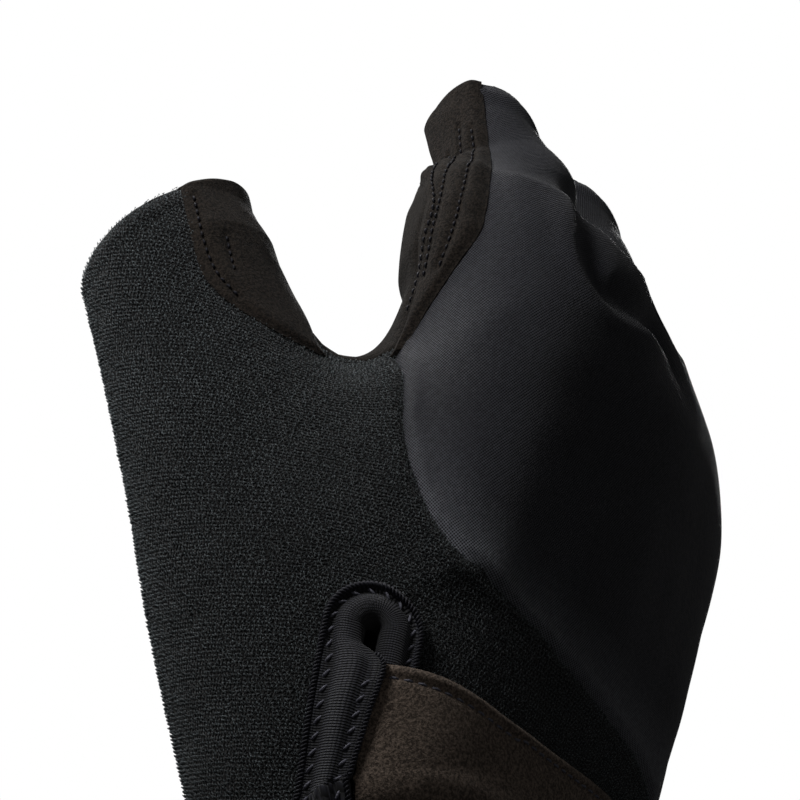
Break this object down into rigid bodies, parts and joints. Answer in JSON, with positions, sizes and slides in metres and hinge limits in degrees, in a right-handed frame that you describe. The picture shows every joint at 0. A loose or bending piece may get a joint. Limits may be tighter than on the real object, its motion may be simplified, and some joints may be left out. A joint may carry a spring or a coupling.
{
  "type": "cycling glove",
  "caption": "Short-fingered cycling glove for the right hand in worn form: knit back, suede palm and facings, terry thumb, taped wrist slit and suede strap",
  "frame": {"origin": "centre of the wrist opening, in its plane, where the hand comes in", "axes": "+Z along the hand towards the fingers, +Y out of the palm, -X the thumb side (right hand)"},
  "size_m": [0.0987, 0.0698, 0.131],
  "materials": {
    "stretch_knit": "fine warp knit with a soft sheen",
    "palm_suede": "matt brushed suede",
    "terry": "looped terry",
    "facing_suede": "matt brushed suede",
    "ribbed_tape": "ribbed elastic tape",
    "strap_suede": "matt brushed suede"
  },
  "bodies": {
    "root": {"dorsal_panel": "stretch_knit", "palm_panel": "palm_suede", "thumb_panel": "terry", "index_facing": "facing_suede", "thumb_facing": "facing_suede", "slit_binding": "ribbed_tape", "cuff_binding": "ribbed_tape", "closure_strap": "strap_suede"}
  },
  "joints": []
}
